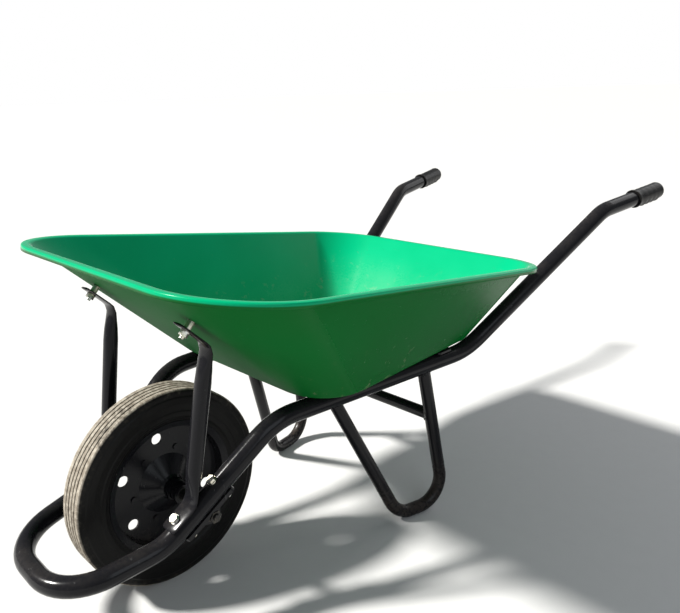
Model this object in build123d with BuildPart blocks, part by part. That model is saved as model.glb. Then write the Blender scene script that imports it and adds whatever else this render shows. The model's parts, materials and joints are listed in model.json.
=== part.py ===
"""A builder's wheelbarrow: deep pressed-steel tray on one continuous bent-tube frame.

The wheel is at the front (-Y), the grips at the back (+Y), Z is up and X = 0 is the plane of
symmetry.  Everything is laid out with the axle at Y = 0 and the ground at Z = 0; the finished
parts are then moved along Y so that the origin sits under the middle of the whole length.
"""
import os
from math import atan2, cos, pi, radians, sin, sqrt, tan

from build123d import *

# ---------------------------------------------------------------- driving dimensions (mm)
WHEEL_D = 356.0          # solid tyre, 14 inch
TYRE_W = 60.0
TUBE_OD = 33.7           # main frame tube
TUBE_WALL = 2.0
LEG_OD = 25.4
LEG_WALL = 1.8
BRACE_OD = 24.0
STRUT_OD = 26.9
AXLE_D = 12.0
HUB_OD = 34.0
HUB_LEN = 116.0

RISE_ANGLE = 38.3        # slope of the frame where it climbs past the wheel
NOSE_GAP = 67.5          # corner of the nose loop, ahead of the tyre
NOSE_DROP = 54.0         # and below the axle
NOSE_HALF = 97.5
LOWER_BEND_AHEAD = 83.0  # distance of the lower bend ahead of the axle, along the tube
LOWER_BEND_HALF = 127.0
UPPER_BEND_HALF = 164.0
RAIL_OVER_AXLE = 133.5   # the level rails that carry the tray
RAIL_END_INSET = 26.0    # from the back of the tray's floor to where the rails turn up
RAIL_END_HALF = 200.5
HANDLE_RUN = 378.5       # from there to the bend below the grips
HANDLE_UP = 248.0
HANDLE_BEND_HALF = 289.5
GRIP_RUN = 199.5         # from that bend to the end of the tube
GRIP_UP = 25.5
HANDLE_END_HALF = 320.0

TRAY_T = 1.2
TRAY_LEN = 884.0         # along the ground, over the rim
RIM_FRONT_UP = 281.5     # over the rails
RIM_REAR_UP = 165.5
RIM_FRONT_HALF = 371.0
RIM_REAR_HALF = 304.0
RIM_FRONT_R = 164.0
RIM_REAR_R = 128.0
RIM_FLANGE = 16.0
RIM_LIP = 10.0
FRONT_WALL_RUN = 291.0   # how far each end wall leans out
REAR_WALL_RUN = 137.0
FLOOR_LAP = 2.0          # the floor starts this far ahead of the back of the tyre
FLOOR_FRONT_HALF = 236.0
FLOOR_REAR_HALF = 198.0
FLOOR_FRONT_R = 90.0
FLOOR_REAR_R = 55.0
FLOOR_EDGE_R = 22.0      # rounding between the floor and the walls

LEG_FRONT_TOP_X = 108.0
LEG_FRONT_FOOT_X = 189.5
LEG_REAR_FOOT_X = 213.0
LEG_FRONT_TOP_BACK = 329.0   # these are measured forward from where the rails turn up
LEG_FRONT_FOOT_BACK = 199.0
LEG_REAR_FOOT_BACK = 81.0
LEG_REAR_TOP_BACK = 127.0
LEG_BEND_FRONT = 51.0
LEG_BEND_REAR = 53.0
BRACE_Z = 204.0

STRAP_T = 4.0
STRAP_W = 40.0
STRAP_REAR_BACK = 76.0

GRIP_WALL = 2.65
GRIP_LEN = 100.0
GRIP_END_WALL = 9.0

BRACKET_T = 4.0          # metal under the tube and thickness of the ear
BOLT_PITCH = 40.0        # bracket bolts, each side of the axle along the tube
STRUT_BOLT_X = 150.0
STRUT_BOLT_UP = 265.0    # from the front edge of the floor, up the front wall
STRUT_SPACER = 13.0      # gap between the tray wall and the strut's tab
SPACER_OD = 12.5

# ---------------------------------------------------------------- clearances and fasteners
BOLT_D = 8.0
BOLT_CLEAR = 0.3         # radial, bolts in their holes
RUN_CLEAR = 0.05         # radial, bushes turning on the axle
SIDE_CLEAR = 0.5         # between turning and fixed faces
HEAD_AF = 13.0
HEAD_H = 5.3
NUT_H = 6.5
WASHER_OD = 16.0
WASHER_T = 1.6
AXLE_NUT_AF = 19.0
AXLE_NUT_H = 10.0
AXLE_WASHER_OD = 24.0
AXLE_WASHER_T = 2.5

# ---------------------------------------------------------------- derived layout
AXLE_Z = WHEEL_D / 2
TUBE_R = TUBE_OD / 2
GRIP_OD = TUBE_OD + 2 * GRIP_WALL
RAIL_Z = AXLE_Z + RAIL_OVER_AXLE
FLOOR_FRONT_Y = WHEEL_D / 2 - FLOOR_LAP
RIM_FRONT_Y = FLOOR_FRONT_Y - FRONT_WALL_RUN
RIM_FRONT_Z = RAIL_Z + RIM_FRONT_UP
RIM_REAR_Y = RIM_FRONT_Y + TRAY_LEN
RIM_REAR_Z = RAIL_Z + RIM_REAR_UP
FLOOR_REAR_Y = RIM_REAR_Y - REAR_WALL_RUN
RAIL_END_Y = FLOOR_REAR_Y - RAIL_END_INSET
HANDLE_BEND_Y = RAIL_END_Y + HANDLE_RUN
HANDLE_BEND_Z = RAIL_Z + HANDLE_UP
HANDLE_END_Y = HANDLE_BEND_Y + GRIP_RUN
HANDLE_END_Z = HANDLE_BEND_Z + GRIP_UP
NOSE_Y = -(WHEEL_D / 2 + NOSE_GAP)
NOSE_Z = AXLE_Z - NOSE_DROP
LEG_FRONT_TOP_Y = RAIL_END_Y - LEG_FRONT_TOP_BACK
LEG_REAR_TOP_Y = RAIL_END_Y - LEG_REAR_TOP_BACK
STRAP_FRONT_Y = LEG_FRONT_TOP_Y
STRAP_REAR_Y = RAIL_END_Y - STRAP_REAR_BACK
AXLE_DROP = TUBE_R + AXLE_WASHER_OD / 2 + 0.8
RISE = radians(RISE_ANGLE)
ALONG = Vector(0, cos(RISE), sin(RISE))
UPWARD = Vector(0, -sin(RISE), cos(RISE))
TUBE_OVER_AXLE = Vector(0, 0, AXLE_Z) + UPWARD * AXLE_DROP
UPPER_BEND_ALONG = (RAIL_Z - TUBE_OVER_AXLE.Z) / sin(RISE)
TOE_SLOPE = (UPPER_BEND_HALF - LOWER_BEND_HALF) / (UPPER_BEND_ALONG + LOWER_BEND_AHEAD)


def rise_point(distance):
    """Point on the tube's centreline where it climbs past the wheel, X positive side."""
    half = LOWER_BEND_HALF + (distance + LOWER_BEND_AHEAD) * TOE_SLOPE
    return Vector(half, 0, 0) + TUBE_OVER_AXLE + ALONG * distance


def rail_half(y):
    """Half spacing of the level rails at a given Y."""
    start = rise_point(UPPER_BEND_ALONG)
    share = (y - start.Y) / (RAIL_END_Y - start.Y)
    return start.X + share * (RAIL_END_HALF - start.X)


def bent_path(points, radii):
    """Straight runs joined by tangent arcs, as a wire."""
    points = [Vector(*p) for p in points]
    with BuildLine() as line:
        start = points[0]
        for before, corner, after, radius in zip(points, points[1:], points[2:], radii):
            back = (before - corner).normalized()
            ahead = (after - corner).normalized()
            turn = pi - back.get_angle(ahead) * pi / 180
            setback = radius * tan(turn / 2)
            enter = corner + back * setback
            leave = corner + ahead * setback
            middle = (back + ahead).normalized()
            centre = corner + middle * (radius / cos(turn / 2))
            Line(start, enter)
            ThreePointArc(enter, centre - middle * radius, leave)
            start = leave
        Line(start, points[-1])
    return line.wire()


def bent_bar(path, diameter):
    """A solid round bar along a path."""
    with BuildPart() as bar:
        with BuildSketch(Plane(origin=path @ 0, z_dir=path % 0)):
            Circle(diameter / 2)
        sweep(path=path)
    return bar.part


def mirrored(part):
    """The same piece on the other side of the barrow."""
    return mirror(part, about=Plane.YZ)


# ---------------------------------------------------------------- frame tube
RISE_DIR = (rise_point(1) - rise_point(0)).normalized()
half_points = [
    Vector(HANDLE_END_HALF, HANDLE_END_Y, HANDLE_END_Z),
    Vector(HANDLE_BEND_HALF, HANDLE_BEND_Y, HANDLE_BEND_Z),
    Vector(RAIL_END_HALF, RAIL_END_Y, RAIL_Z),
    rise_point(UPPER_BEND_ALONG),
    rise_point(-LOWER_BEND_AHEAD),
    Vector(NOSE_HALF, NOSE_Y, NOSE_Z),
]
half_radii = [78, 137, 117, 105, NOSE_HALF * 0.97]
all_points = half_points + [Vector(-p.X, p.Y, p.Z) for p in reversed(half_points)]
frame_path = bent_path(all_points, half_radii + half_radii[::-1])
frame_solid = bent_bar(frame_path, TUBE_OD)
frame_bore = bent_bar(frame_path, TUBE_OD - 2 * TUBE_WALL)


def rise_plane(distance, lift):
    """Plane square to the bracket bolts: X along the tube, Z up out of it."""
    return Plane(origin=rise_point(distance) + UPWARD * lift, x_dir=RISE_DIR, z_dir=UPWARD)


with BuildPart() as frame:
    add(frame_solid)
    add(frame_bore, mode=Mode.SUBTRACT)
    for place in (-BOLT_PITCH, BOLT_PITCH):
        with BuildSketch(rise_plane(place, -TUBE_R - 5)) as hole:
            Circle(BOLT_D / 2 + BOLT_CLEAR)
        drilled = extrude(amount=TUBE_OD + 10, mode=Mode.SUBTRACT)
        mirror(drilled, about=Plane.YZ, mode=Mode.SUBTRACT)

# ---------------------------------------------------------------- straps under the tray
STRAP_Z = RAIL_Z + TUBE_R
FLOOR_Z = STRAP_Z + STRAP_T
FRONT_STRAP_BOLT_X = 58.0
REAR_STRAP_BOLT_X = 110.0


def strap(y, bolt_x):
    """Flat bar lying across both rails, with two bolt holes."""
    half = rail_half(y) + TUBE_R * 0.8
    with BuildPart() as bar:
        with BuildSketch(Plane.XY.offset(STRAP_Z)):
            with Locations((0, y)):
                RectangleRounded(2 * half, STRAP_W, 6)
            with Locations((bolt_x, y), (-bolt_x, y)):
                Circle(BOLT_D / 2 + BOLT_CLEAR, mode=Mode.SUBTRACT)
        extrude(amount=STRAP_T)
    return bar.part


front_strap = strap(STRAP_FRONT_Y, FRONT_STRAP_BOLT_X)
rear_strap = strap(STRAP_REAR_Y, REAR_STRAP_BOLT_X)

# ---------------------------------------------------------------- legs and brace
leg_low = LEG_OD / 2
front_foot = Vector(LEG_FRONT_FOOT_X, RAIL_END_Y - LEG_FRONT_FOOT_BACK, leg_low)
rear_foot = Vector(LEG_REAR_FOOT_X, RAIL_END_Y - LEG_REAR_FOOT_BACK, leg_low)
front_top = Vector(LEG_FRONT_TOP_X, LEG_FRONT_TOP_Y, STRAP_Z)
rear_top = Vector(rail_half(LEG_REAR_TOP_Y), LEG_REAR_TOP_Y, RAIL_Z)
over_top = front_top + (front_top - front_foot).normalized() * LEG_OD
leg_path = bent_path([over_top, front_foot, rear_foot, rear_top], [LEG_BEND_FRONT, LEG_BEND_REAR])
leg_solid = bent_bar(leg_path, LEG_OD)

with BuildPart() as leg_right:
    add(leg_solid)
    add(bent_bar(leg_path, LEG_OD - 2 * LEG_WALL), mode=Mode.SUBTRACT)
    add(frame_solid, mode=Mode.SUBTRACT)
    with Locations((front_top.X, front_top.Y, STRAP_Z + 30)):
        Box(4 * LEG_OD, 4 * LEG_OD, 60, mode=Mode.SUBTRACT)
leg_left = mirrored(leg_right.part)

brace_share = (BRACE_Z - rear_foot.Z) / (rear_top.Z - rear_foot.Z)
brace_end = rear_foot + (rear_top - rear_foot) * brace_share
with BuildPart() as brace:
    with BuildSketch(Plane.YZ.offset(-brace_end.X)):
        with Locations((brace_end.Y, brace_end.Z)):
            Circle(BRACE_OD / 2)
            Circle(BRACE_OD / 2 - LEG_WALL, mode=Mode.SUBTRACT)
    extrude(amount=2 * brace_end.X)
    add(leg_solid, mode=Mode.SUBTRACT)
    add(mirrored(leg_solid), mode=Mode.SUBTRACT)

# ---------------------------------------------------------------- bearing brackets
SADDLE_LEN = 2 * BOLT_PITCH + 30
SADDLE_W = 30.0
EAR_R = 17.0
ear_x = rise_point(0).X
ear_plane = Plane(origin=(ear_x - BRACKET_T / 2, 0, 0), x_dir=(0, 1, 0), z_dir=(1, 0, 0))
relief_r = AXLE_WASHER_OD / 2 + 0.5
ear_root = TUBE_OVER_AXLE - UPWARD * (TUBE_R + BRACKET_T - 1.5)
with BuildPart() as bracket_right:
    with BuildSketch(rise_plane(0, -TUBE_R - BRACKET_T)):
        RectangleRounded(SADDLE_LEN, SADDLE_W, 8)
    extrude(amount=2 * BRACKET_T)
    with BuildSketch(ear_plane):
        with Locations((0, AXLE_Z)):
            Circle(EAR_R)
        with Locations(Location((ear_root.Y, ear_root.Z), RISE_ANGLE)):
            Rectangle(2 * EAR_R + 22, 3)
        make_hull()
    extrude(amount=BRACKET_T)
    add(frame_solid, mode=Mode.SUBTRACT)
    for near_face in (ear_plane.offset(-30), ear_plane.offset(BRACKET_T)):
        with BuildSketch(near_face):
            with Locations((0, AXLE_Z)):
                Circle(relief_r)
        extrude(amount=30, mode=Mode.SUBTRACT)
    with BuildSketch(ear_plane.offset(-5)):
        with Locations((0, AXLE_Z)):
            Circle(AXLE_D / 2 + 0.1)
    extrude(amount=BRACKET_T + 10, mode=Mode.SUBTRACT)
    for place in (-BOLT_PITCH, BOLT_PITCH):
        with BuildSketch(rise_plane(place, -TUBE_R - 3 * BRACKET_T)):
            Circle(BOLT_D / 2 + BOLT_CLEAR)
        extrude(amount=4 * BRACKET_T, mode=Mode.SUBTRACT)
bracket_left = mirrored(bracket_right.part)

# ---------------------------------------------------------------- tray
rim_slope = atan2(RIM_FRONT_Z - RIM_REAR_Z, RIM_REAR_Y - RIM_FRONT_Y)
rim_length = sqrt((RIM_REAR_Y - RIM_FRONT_Y) ** 2 + (RIM_FRONT_Z - RIM_REAR_Z) ** 2)
rim_plane = Plane(
    origin=(0, RIM_FRONT_Y, RIM_FRONT_Z), x_dir=(1, 0, 0), z_dir=(0, sin(rim_slope), cos(rim_slope))
)
FLOOR_SIZES = (
    FLOOR_FRONT_Y,
    FLOOR_REAR_Y,
    FLOOR_FRONT_HALF,
    FLOOR_REAR_HALF,
    FLOOR_FRONT_R,
    FLOOR_REAR_R,
)
RIM_SIZES = (0.0, rim_length, RIM_FRONT_HALF, RIM_REAR_HALF, RIM_FRONT_R, RIM_REAR_R)
FLOOR_INSET = TRAY_T * 0.45
WALL_INSET = TRAY_T * 1.5


def rounded_trapezoid(plane, sizes, inset):
    """A sketch of a rounded trapezoid on a plane, drawn in by an even margin."""
    front, rear, front_half, rear_half, front_r, rear_r = sizes
    corners = [
        (front_half - inset, front + inset),
        (rear_half - inset, rear - inset),
        (inset - rear_half, rear - inset),
        (inset - front_half, front + inset),
    ]
    with BuildSketch() as outline:
        with BuildLine():
            Polyline(*corners, close=True)
        make_face()
        fillet(outline.vertices().sort_by(Axis.Y)[:2], front_r - inset)
        fillet(outline.vertices().sort_by(Axis.Y)[-2:], rear_r - inset)
    return plane * outline.sketch


def basin(floor_z, floor_inset, rim_inset, edge_r):
    """The tray's volume between the floor and the rim."""
    floor_outline = rounded_trapezoid(Plane.XY.offset(floor_z), FLOOR_SIZES, floor_inset)
    rim_outline = rounded_trapezoid(rim_plane, RIM_SIZES, RIM_FLANGE + rim_inset)
    with BuildPart() as volume:
        loft([floor_outline.face(), rim_outline.face()], ruled=True)
        fillet(volume.faces().sort_by(Axis.Z)[0].edges(), edge_r)
    return volume.part


# the front wall is flat: its slope and the strut bolt's place on it
wall_run = FLOOR_FRONT_Y - (RIM_FRONT_Y + RIM_FLANGE * cos(rim_slope))
wall_rise = RIM_FRONT_Z - RIM_FLANGE * sin(rim_slope) - FLOOR_Z
WALL_SLOPE = atan2(wall_rise, wall_run)
UP_WALL = Vector(0, -cos(WALL_SLOPE), sin(WALL_SLOPE))
OFF_WALL = Vector(0, -sin(WALL_SLOPE), -cos(WALL_SLOPE))
floor_corner = Vector(0, FLOOR_FRONT_Y, FLOOR_Z)


def wall_point(x, up, off):
    """Point over the outside of the front wall: up the slope and square off it."""
    return floor_corner + UP_WALL * up + OFF_WALL * off + Vector(x, 0, 0)


def wall_plane(x, up, off):
    """Plane on the front wall with Z pointing away from the tray and Y up the slope."""
    return Plane(origin=wall_point(x, up, off), x_dir=(-1, 0, 0), z_dir=OFF_WALL)


floor_bolt_places = [
    (FRONT_STRAP_BOLT_X, STRAP_FRONT_Y),
    (-FRONT_STRAP_BOLT_X, STRAP_FRONT_Y),
    (REAR_STRAP_BOLT_X, STRAP_REAR_Y),
    (-REAR_STRAP_BOLT_X, STRAP_REAR_Y),
]
rim_outer = rounded_trapezoid(rim_plane, RIM_SIZES, 0.0)
rim_fold = rounded_trapezoid(rim_plane, RIM_SIZES, TRAY_T)
rim_mouth = rounded_trapezoid(rim_plane, RIM_SIZES, RIM_FLANGE + WALL_INSET)
rim_ring = extrude(rim_outer - rim_mouth, amount=-TRAY_T)
lip_ring = extrude(rim_outer - rim_fold, amount=-RIM_LIP)
with BuildPart() as tray:
    add(basin(FLOOR_Z, 0.0, 0.0, FLOOR_EDGE_R))
    hollow = basin(FLOOR_Z + TRAY_T, FLOOR_INSET, WALL_INSET, FLOOR_EDGE_R - TRAY_T)
    add(hollow, mode=Mode.SUBTRACT)
    add(rim_ring)
    add(lip_ring)
    with BuildSketch(Plane.XY.offset(FLOOR_Z - 5)):
        with Locations(*floor_bolt_places):
            Circle(BOLT_D / 2 + BOLT_CLEAR)
    extrude(amount=10, mode=Mode.SUBTRACT)
    for side in (-1, 1):
        with BuildSketch(wall_plane(side * STRUT_BOLT_X, STRUT_BOLT_UP, -5)):
            Circle(BOLT_D / 2 + BOLT_CLEAR)
        extrude(amount=10, mode=Mode.SUBTRACT)

# ---------------------------------------------------------------- front struts
FLAT_T = 5.0                       # flattened tube, both walls together
FLAT_W = STRUT_OD * 1.3
FOOT_FRONT = -BOLT_PITCH - 20
FOOT_BACK = -BOLT_PITCH + 34
TAB_TOP = STRUT_BOLT_UP + 18
TAB_LOW = STRUT_BOLT_UP - 50
NECK = 30.0                        # length over which the tube is squeezed flat
foot_lift = TUBE_R + FLAT_T / 2
strut_base = rise_point(FOOT_BACK - 1) + UPWARD * foot_lift
strut_head = wall_point(STRUT_BOLT_X, TAB_LOW + 3, STRUT_SPACER + FLAT_T / 2)
strut_dir = (strut_head - strut_base).normalized()
across = Vector(1, 0, 0) - strut_dir * strut_dir.X
across = across.normalized()


def strut_section(point):
    """Plane square to the strut with its X across the barrow."""
    return Plane(origin=point, x_dir=across, z_dir=strut_dir)


with BuildPart() as strut_right:
    with BuildSketch(strut_section(strut_base)):
        Ellipse(FLAT_W / 2, FLAT_T / 2 + 0.8)
    with BuildSketch(strut_section(strut_base + strut_dir * NECK)):
        Circle(STRUT_OD / 2)
    loft(ruled=True)
    with BuildSketch(strut_section(strut_base + strut_dir * NECK)):
        Circle(STRUT_OD / 2)
    extrude(amount=(strut_head - strut_base).length - 2 * NECK)
    with BuildSketch(strut_section(strut_head - strut_dir * NECK)):
        Circle(STRUT_OD / 2)
    with BuildSketch(strut_section(strut_head)):
        Ellipse(FLAT_W / 2, FLAT_T / 2 + 0.8)
    loft(ruled=True)
    with BuildSketch(rise_plane((FOOT_FRONT + FOOT_BACK) / 2, TUBE_R)):
        RectangleRounded(FOOT_BACK - FOOT_FRONT, FLAT_W, 7)
    extrude(amount=FLAT_T)
    with BuildSketch(wall_plane(STRUT_BOLT_X, (TAB_TOP + TAB_LOW) / 2, STRUT_SPACER)):
        RectangleRounded(FLAT_W, TAB_TOP - TAB_LOW, 9)
    extrude(amount=FLAT_T)
    with BuildSketch(rise_plane(-BOLT_PITCH, TUBE_R - 5)):
        Circle(BOLT_D / 2 + BOLT_CLEAR)
    extrude(amount=FLAT_T + 10, mode=Mode.SUBTRACT)
    with BuildSketch(wall_plane(STRUT_BOLT_X, STRUT_BOLT_UP, STRUT_SPACER - 5)):
        Circle(BOLT_D / 2 + BOLT_CLEAR)
    extrude(amount=FLAT_T + 10, mode=Mode.SUBTRACT)
    add(frame_solid, mode=Mode.SUBTRACT)
strut_left = mirrored(strut_right.part)

# ---------------------------------------------------------------- fasteners


def hex_bolt(plane, grip_length):
    """Hexagon head standing on the plane, shank running back through it."""
    with BuildPart() as bolt:
        with BuildSketch(plane):
            RegularPolygon(HEAD_AF / 2, 6, major_radius=False)
        extrude(amount=HEAD_H)
        with BuildSketch(plane):
            Circle(BOLT_D / 2)
        extrude(amount=-grip_length)
    return bolt.part


def ring(plane, outer_d, inner_d, thickness):
    """A washer or plain spacer lying on the plane."""
    with BuildPart() as washer:
        with BuildSketch(plane):
            Circle(outer_d / 2)
            Circle(inner_d / 2, mode=Mode.SUBTRACT)
        extrude(amount=thickness)
    return washer.part


def hex_nut(plane, across_flats, inner_d, thickness):
    """A nut standing on the plane."""
    with BuildPart() as nut:
        with BuildSketch(plane):
            RegularPolygon(across_flats / 2, 6, major_radius=False)
            Circle(inner_d / 2, mode=Mode.SUBTRACT)
        extrude(amount=thickness)
    return nut.part


def group(pieces):
    """Identical pieces kept together as one node."""
    return Compound(children=list(pieces))


def both_sides(pieces):
    """The given pieces and their mirror images."""
    return list(pieces) + [mirrored(piece) for piece in pieces]


WASHER_ID = BOLT_D + 0.4
tail = WASHER_T + NUT_H + 4.0
under_saddle = TUBE_R + BRACKET_T
bracket_seats = [(-BOLT_PITCH, TUBE_R + FLAT_T), (BOLT_PITCH, TUBE_R)]
bracket_bolt_list = []
bracket_washer_list = []
bracket_nut_list = []
for place, seat in bracket_seats:
    head_plane = rise_plane(place, seat + WASHER_T)
    bracket_bolt_list.append(hex_bolt(head_plane, seat + WASHER_T + under_saddle + tail))
    bracket_washer_list.append(ring(rise_plane(place, seat), WASHER_OD, WASHER_ID, WASHER_T))
    low_washer = rise_plane(place, -under_saddle - WASHER_T)
    bracket_washer_list.append(ring(low_washer, WASHER_OD, WASHER_ID, WASHER_T))
    low_nut = rise_plane(place, -under_saddle - WASHER_T - NUT_H)
    bracket_nut_list.append(hex_nut(low_nut, HEAD_AF, BOLT_D, NUT_H))
bracket_bolts = group(both_sides(bracket_bolt_list))
bracket_washers = group(both_sides(bracket_washer_list))
bracket_nuts = group(both_sides(bracket_nut_list))

wall_sheet = TRAY_T + 0.05

# strut bolts: round head inside the tray, spacer between the wall and the tab, nut below the tab
CUP_D = 20.0
CUP_H = 4.0


def cup_bolt(plane, length):
    """Domed head standing on the plane, shank running back through it."""
    dome_r = (CUP_D**2 / 4 + CUP_H**2) / (2 * CUP_H)
    with BuildPart() as bolt:
        with BuildSketch(plane):
            Circle(CUP_D / 2)
        extrude(amount=CUP_H)
        with Locations(plane * Location((0, 0, CUP_H - dome_r))):
            Sphere(dome_r, mode=Mode.INTERSECT)
        with BuildSketch(plane):
            Circle(BOLT_D / 2)
        extrude(amount=-length)
    return bolt.part


def inside_wall(x, lift):
    """Plane on the inner face of the front wall, Z pointing into the tray."""
    origin = wall_point(x, STRUT_BOLT_UP, -wall_sheet - lift)
    return Plane(origin=origin, x_dir=(1, 0, 0), z_dir=-OFF_WALL)


strut_stack = wall_sheet + STRUT_SPACER + FLAT_T
strut_bolt = cup_bolt(inside_wall(STRUT_BOLT_X, 0.05), strut_stack + tail)
strut_spacer = ring(
    wall_plane(STRUT_BOLT_X, STRUT_BOLT_UP, 0.05), SPACER_OD, WASHER_ID, STRUT_SPACER - 0.1
)
below_tab = STRUT_SPACER + FLAT_T
strut_washer = ring(
    wall_plane(STRUT_BOLT_X, STRUT_BOLT_UP, below_tab), WASHER_OD, WASHER_ID, WASHER_T
)
strut_nut = hex_nut(
    wall_plane(STRUT_BOLT_X, STRUT_BOLT_UP, below_tab + WASHER_T), HEAD_AF, BOLT_D, NUT_H
)
strut_bolts = group(both_sides([strut_bolt]))
strut_spacers = group(both_sides([strut_spacer]))
strut_washers = group(both_sides([strut_washer]))
strut_nuts = group(both_sides([strut_nut]))

tray_bolt_list = []
tray_washer_list = []
tray_nut_list = []
for x, y in floor_bolt_places:
    on_floor = Plane(origin=(x, y, FLOOR_Z + TRAY_T))
    tray_bolt_list.append(cup_bolt(on_floor, TRAY_T + STRAP_T + tail))
    under = STRAP_Z - WASHER_T
    tray_washer_list.append(ring(Plane(origin=(x, y, under)), WASHER_OD, WASHER_ID, WASHER_T))
    tray_nut_list.append(hex_nut(Plane(origin=(x, y, under - NUT_H)), HEAD_AF, BOLT_D, NUT_H))
tray_bolts = group(tray_bolt_list)
tray_washers = group(tray_washer_list)
tray_nuts = group(tray_nut_list)

# ---------------------------------------------------------------- axle
ear_outer = ear_x + BRACKET_T / 2
ear_inner = ear_x - BRACKET_T / 2
axle_half = ear_outer + AXLE_WASHER_T + AXLE_NUT_H + 4
axle_centre = Plane(origin=(-axle_half, 0, AXLE_Z), x_dir=(0, 1, 0), z_dir=(1, 0, 0))
with BuildPart() as axle:
    with BuildSketch(axle_centre):
        Circle(AXLE_D / 2)
    extrude(amount=2 * axle_half)
    chamfer(axle.edges(), 1.0)


def across_plane(x):
    """Plane square to the axle."""
    return Plane(origin=(x, 0, AXLE_Z), x_dir=(0, 1, 0), z_dir=(1, 0, 0))


AXLE_HOLE = AXLE_D + 0.3
spacer_start = HUB_LEN / 2 + SIDE_CLEAR
axle_spacer = ring(across_plane(spacer_start), AXLE_D + 8, AXLE_HOLE, ear_inner - spacer_start)
axle_washer = ring(across_plane(ear_outer), AXLE_WASHER_OD, AXLE_HOLE, AXLE_WASHER_T)
axle_nut = hex_nut(across_plane(ear_outer + AXLE_WASHER_T), AXLE_NUT_AF, AXLE_D, AXLE_NUT_H)
axle_spacers = group(both_sides([axle_spacer]))
axle_washers = group(both_sides([axle_washer]))
axle_nuts = group(both_sides([axle_nut]))

# ---------------------------------------------------------------- wheel
SHEET_T = 2.0
DISC_HOLE_D = 20.0
DISC_HOLE_R = 88.0
DISC_HOLE_START = 37.0
DISC_RIVET_R = 65.0
RIVET_D = 6.0
SEAT_R = 107.0
FLANGE_R = 121.0
TREAD_HALF = TYRE_W / 2 - 6
GROOVE_W = 3.2
GROOVE_DEPTH = 2.6
GROOVES = 4
HUB_WALL = 4.0


def sheet_outline(points, thickness):
    """Outline of a bent sheet about its middle line."""
    points = [Vector(*p) for p in points]
    normals = []
    for first, second in zip(points, points[1:]):
        step = (second - first).normalized()
        normals.append(Vector(-step.Y, step.X))
    left = []
    right = []
    for index, point in enumerate(points):
        before = normals[max(index - 1, 0)]
        after = normals[min(index, len(normals) - 1)]
        mitre = (before + after).normalized()
        reach = thickness / 2 / mitre.dot(after)
        left.append(point + mitre * reach)
        right.append(point - mitre * reach)
    return left + right[::-1]


# middle line of one pressed half: collar on the hub, cone, flat ring, seat and flange
disc_line = [
    (36, HUB_OD / 2 + SHEET_T / 2),
    (24, HUB_OD / 2 + SHEET_T / 2),
    (20, 22),
    (SHEET_T / 2, 54),
    (SHEET_T / 2, SEAT_R),
    (19.5, SEAT_R + 3),
    (24.5, FLANGE_R),
]
wheel_plane = Plane(origin=(0, 0, AXLE_Z), x_dir=(1, 0, 0), z_dir=(0, -1, 0))
wheel_axis = Axis((0, 0, AXLE_Z), (1, 0, 0))
with BuildPart() as disc_right:
    with BuildSketch(wheel_plane):
        Polygon(*[(p.X, p.Y) for p in sheet_outline(disc_line, SHEET_T)], align=None)
    revolve(axis=wheel_axis)
    with BuildSketch(across_plane(-5)):
        with PolarLocations(DISC_HOLE_R, 6, start_angle=DISC_HOLE_START):
            Circle(DISC_HOLE_D / 2)
        with PolarLocations(DISC_RIVET_R, 6, start_angle=DISC_HOLE_START + 30):
            Circle(RIVET_D / 2)
    extrude(amount=20, mode=Mode.SUBTRACT)
disc_left = mirrored(disc_right.part)

with BuildPart() as rivets:
    with BuildSketch(across_plane(-SHEET_T)):
        with PolarLocations(DISC_RIVET_R, 6, start_angle=DISC_HOLE_START + 30):
            Circle(RIVET_D / 2)
    extrude(amount=2 * SHEET_T)
    for side in (-1, 1):
        with BuildSketch(across_plane(side * SHEET_T)):
            with PolarLocations(DISC_RIVET_R, 6, start_angle=DISC_HOLE_START + 30):
                Circle(RIVET_D)
        extrude(amount=side * 2.5)

tyre_half = [
    (SHEET_T / 2, SEAT_R),
    (19.5, SEAT_R + 3),
    (24.5, FLANGE_R),
    (TYRE_W / 2 - 1.5, FLANGE_R + 9),
    (TYRE_W / 2, WHEEL_D / 2 - 26),
    (TYRE_W / 2 - 2, WHEEL_D / 2 - 7),
    (TREAD_HALF, WHEEL_D / 2),
]
tyre_loop = [(-x, r) for x, r in tyre_half] + [(x, r) for x, r in reversed(tyre_half)]
groove_pitch = 2 * TREAD_HALF / (GROOVES + 1)
groove_places = [(number - (GROOVES - 1) / 2) * groove_pitch for number in range(GROOVES)]
with BuildPart() as tyre:
    with BuildSketch(wheel_plane):
        Polygon(*tyre_loop, align=None)
        with Locations(*[(x, WHEEL_D / 2) for x in groove_places]):
            Rectangle(GROOVE_W, 2 * GROOVE_DEPTH, mode=Mode.SUBTRACT)
    revolve(axis=wheel_axis)
    add(disc_right.part, mode=Mode.SUBTRACT)
    add(disc_left, mode=Mode.SUBTRACT)

with BuildPart() as hub_tube:
    with BuildSketch(across_plane(-HUB_LEN / 2)):
        Circle(HUB_OD / 2)
        Circle(HUB_OD / 2 - HUB_WALL, mode=Mode.SUBTRACT)
    extrude(amount=HUB_LEN)

BUSH_LEN = 22.0
bush_start = HUB_LEN / 2 - BUSH_LEN
bush_right = ring(
    across_plane(bush_start), HUB_OD - 2 * HUB_WALL, AXLE_D + 2 * RUN_CLEAR, BUSH_LEN
)
bush_left = mirrored(bush_right)

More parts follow.
